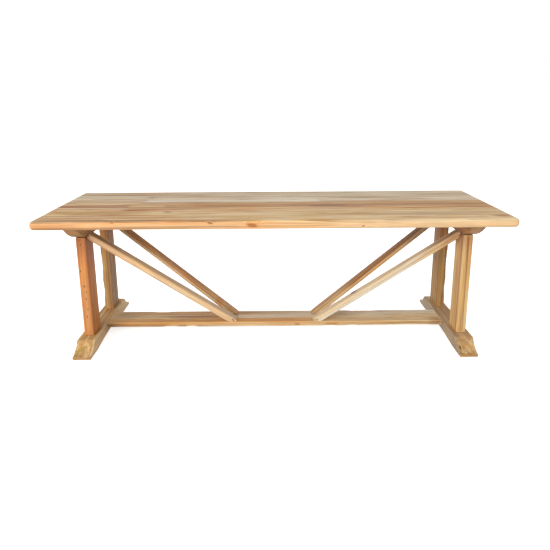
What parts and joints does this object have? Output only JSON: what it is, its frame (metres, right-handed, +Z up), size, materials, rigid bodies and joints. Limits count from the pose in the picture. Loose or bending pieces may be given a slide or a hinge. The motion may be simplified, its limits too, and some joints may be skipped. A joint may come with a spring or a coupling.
{
  "type": "dining table",
  "caption": "Long dining table in solid wood: a plank top on two-post trestles, tied by a low flat stretcher and braces that spread up to the posts.",
  "frame": {"origin": "on the floor, under the middle of the top", "axes": "+X along the table's length to the right, -Y towards the front side, +Z up"},
  "size_m": [2.5, 1, 0.77],
  "materials": {
    "top_boards": "brushed old teak, oiled, matt",
    "posts": "brushed old teak, oiled, matt",
    "feet": "brushed old teak, worn, matt",
    "bearers": "brushed old teak, oiled, matt",
    "braces": "brushed old teak, oiled, matt",
    "stretcher": "brushed old teak, oiled, matt",
    "joinery": "plain planed hardwood",
    "screws": "zinc plated"
  },
  "bodies": {
    "root": {"top_board_1": "top_boards", "top_board_2": "top_boards", "top_board_3": "top_boards", "top_board_4": "top_boards", "top_board_5": "top_boards", "top_board_6": "top_boards", "top_board_7": "top_boards", "top_board_8": "top_boards", "top_tongue_1": "joinery", "top_tongue_2": "joinery", "top_tongue_3": "joinery", "top_tongue_4": "joinery", "top_tongue_5": "joinery", "top_tongue_6": "joinery", "top_tongue_7": "joinery", "stretcher_front_lamella": "stretcher", "stretcher_middle_lamella": "stretcher", "stretcher_rear_lamella": "stretcher", "right_rear_post": "posts", "right_rear_brace": "braces", "right_front_post": "posts", "right_front_brace": "braces", "right_foot": "feet", "right_bearer": "bearers", "right_coach_screws": "screws", "right_stretcher_pegs": "joinery", "left_rear_post": "posts", "left_rear_brace": "braces", "left_front_post": "posts", "left_front_brace": "braces", "left_foot": "feet", "left_bearer": "bearers", "left_coach_screws": "screws", "left_stretcher_pegs": "joinery"}
  },
  "joints": []
}
